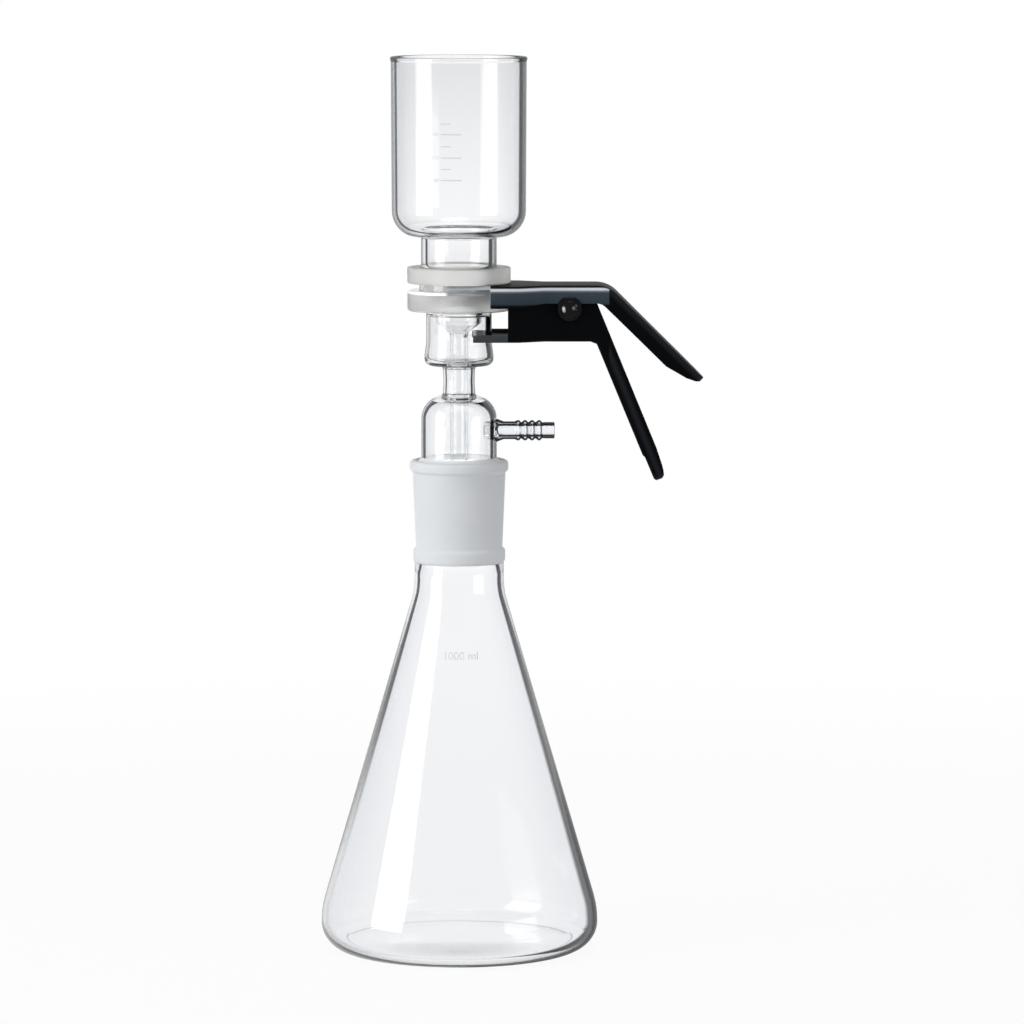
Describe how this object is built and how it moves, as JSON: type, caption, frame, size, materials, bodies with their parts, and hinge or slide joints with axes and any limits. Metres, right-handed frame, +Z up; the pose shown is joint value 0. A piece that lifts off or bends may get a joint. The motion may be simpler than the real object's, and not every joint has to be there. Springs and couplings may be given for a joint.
{
  "type": "vacuum filtration unit",
  "caption": "All-glass vacuum filtration unit: straight funnel on a fritted support base with side arm, ground joint, conical flask and black spring clamp.",
  "frame": {"origin": "centre of the flask's flat foot, on the surface it stands on", "axes": "+Z up the common glass axis, +X towards the side arm and the clamp's handles"},
  "size_m": [0.1801, 0.1308, 0.4218],
  "materials": {
    "clear_glass": "clear borosilicate glass, with ground faces at the joint and the flanges",
    "fritted_glass": "white sintered glass, matt and porous",
    "black_anodised": "black anodised sheet, satin",
    "black_steel": "black oxide steel, half gloss",
    "spring_steel": "drawn spring wire"
  },
  "bodies": {
    "unit": {"flask": "clear_glass", "support_base": "clear_glass", "fritted_disc": "fritted_glass", "funnel": "clear_glass", "clamp_upper_half": "black_anodised", "pivot_rivet": "black_steel", "front_washer": "black_steel", "rear_washer": "black_steel", "torsion_spring": "spring_steel"},
    "lower_half": {"clamp_lower_half": "black_anodised"}
  },
  "joints": [
    {"name": "clamp_squeeze", "type": "hinge", "parent": "unit", "child": "lower_half", "pos_m": [0.0518, 0, 0.3046], "axis": [0, -1, 0], "range_deg": [0, 18], "stiffness_Nm_per_rad": 0.5, "springref_deg": -28.65, "deforming": ["torsion_spring"]}
  ]
}
